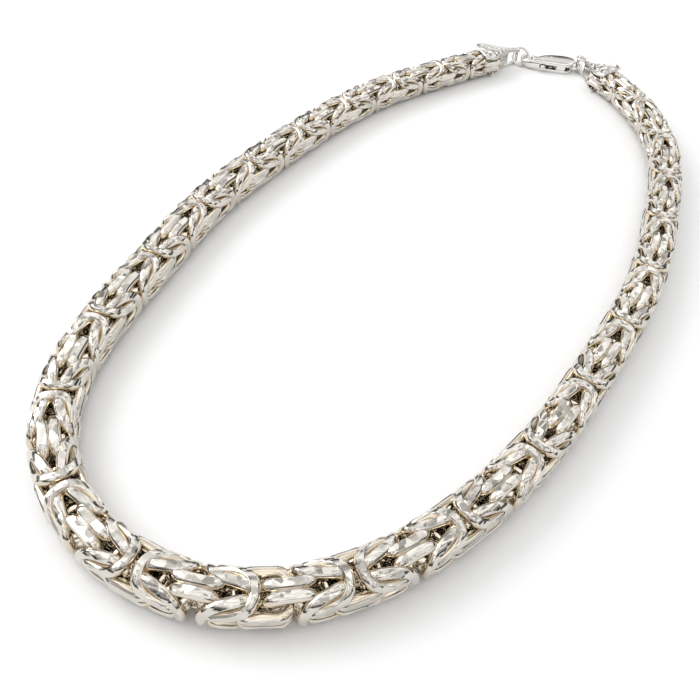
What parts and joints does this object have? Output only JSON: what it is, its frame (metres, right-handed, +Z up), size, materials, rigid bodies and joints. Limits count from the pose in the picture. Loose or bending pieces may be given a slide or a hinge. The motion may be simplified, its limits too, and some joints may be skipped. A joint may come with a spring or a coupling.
{
  "type": "byzantine chain necklace",
  "caption": "Graduated byzantine chain necklace of interlocked round wire links, flattened on four sides, with pointed relief end caps, jump rings and a lobster clasp, lying closed.",
  "frame": {"origin": "middle of the necklace's box, on the surface it lies on", "axes": "+Z up from the surface, -Y towards the front of the necklace with its widest links, +Y towards the clasp, +X to the right seen from the front"},
  "size_m": [0.1362, 0.184, 0.0087],
  "materials": {
    "links": "polished silver",
    "fittings": "polished silver"
  },
  "bodies": {
    "necklace": {"chain_left": "links", "chain_right": "links", "chain_end_left": "links", "chain_end_right": "links", "end_cap_left": "fittings", "end_cap_right": "fittings", "jump_ring_left": "fittings", "jump_ring_right": "fittings", "clasp_body": "fittings", "clasp_rivet": "fittings"},
    "lever": {"clasp_lever": "fittings"}
  },
  "joints": [
    {"name": "clasp_lever_pivot", "type": "hinge", "parent": "necklace", "child": "lever", "pos_m": [0.04095, 0.08893, 0.0015], "axis": [0, 0, 1], "range_deg": [0, 16], "stiffness_Nm_per_rad": 0.002}
  ]
}
